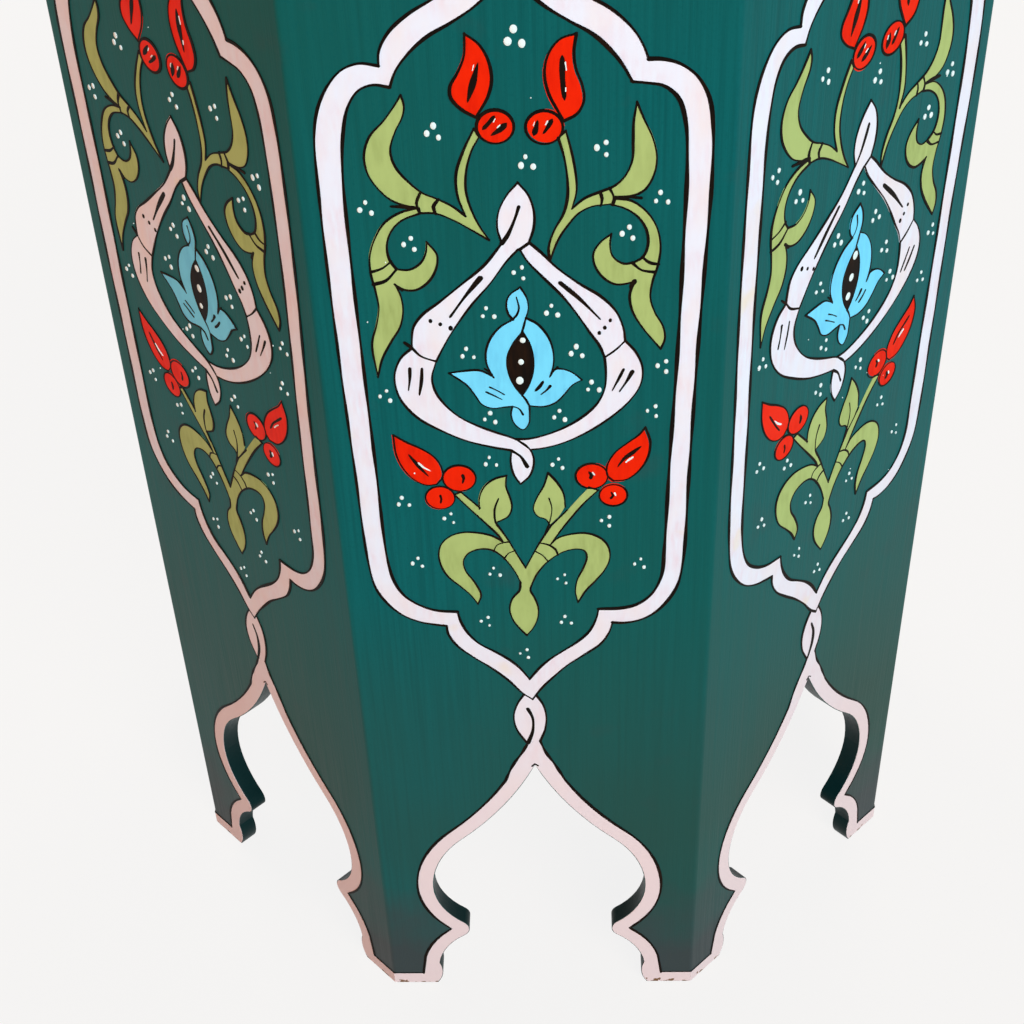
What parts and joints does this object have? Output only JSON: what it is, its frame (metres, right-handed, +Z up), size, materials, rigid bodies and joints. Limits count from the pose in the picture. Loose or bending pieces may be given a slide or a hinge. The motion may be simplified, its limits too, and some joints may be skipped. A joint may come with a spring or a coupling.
{
  "type": "octagonal painted wooden side table",
  "caption": "Octagonal wooden side table with ogee arches cut between its feet, mitred side panels and a planked top, painted with traditional flowers.",
  "frame": {"origin": "on the floor, at the middle of the eight feet", "axes": "+Z up, the front panel faces -Y, +X to its right"},
  "size_m": [0.4022, 0.4022, 0.6],
  "materials": {
    "painted_wood": "dark teal-green brushed paint under semi-gloss varnish, with painted ornament",
    "white_paint": "brushed paint, semi-gloss",
    "leaf_green_paint": "brushed paint, semi-gloss",
    "red_paint": "brushed paint, semi-gloss",
    "blue_paint": "brushed paint, semi-gloss",
    "black_paint": "brushed paint, semi-gloss",
    "bare_wood": "sawn, bare",
    "steel": "dull"
  },
  "bodies": {
    "root": {"panel_front": "painted_wood", "panel_front_right": "painted_wood", "panel_right": "painted_wood", "panel_back_right": "painted_wood", "panel_back": "painted_wood", "panel_back_left": "painted_wood", "panel_left": "painted_wood", "panel_front_left": "painted_wood", "cleat_front": "bare_wood", "cleat_front_right": "bare_wood", "cleat_right": "bare_wood", "cleat_back_right": "bare_wood", "cleat_back": "bare_wood", "cleat_back_left": "bare_wood", "cleat_left": "bare_wood", "cleat_front_left": "bare_wood", "corner_strip_1": "bare_wood", "corner_strip_2": "bare_wood", "corner_strip_3": "bare_wood", "corner_strip_4": "bare_wood", "corner_strip_5": "bare_wood", "corner_strip_6": "bare_wood", "corner_strip_7": "bare_wood", "corner_strip_8": "bare_wood", "top_plank_front": "painted_wood", "top_plank_middle": "painted_wood", "top_plank_back": "painted_wood", "top_tongue_front": "bare_wood", "top_tongue_back": "bare_wood", "top_screws": "steel", "cleat_nails": "steel", "strip_brads": "steel"}
  },
  "joints": []
}
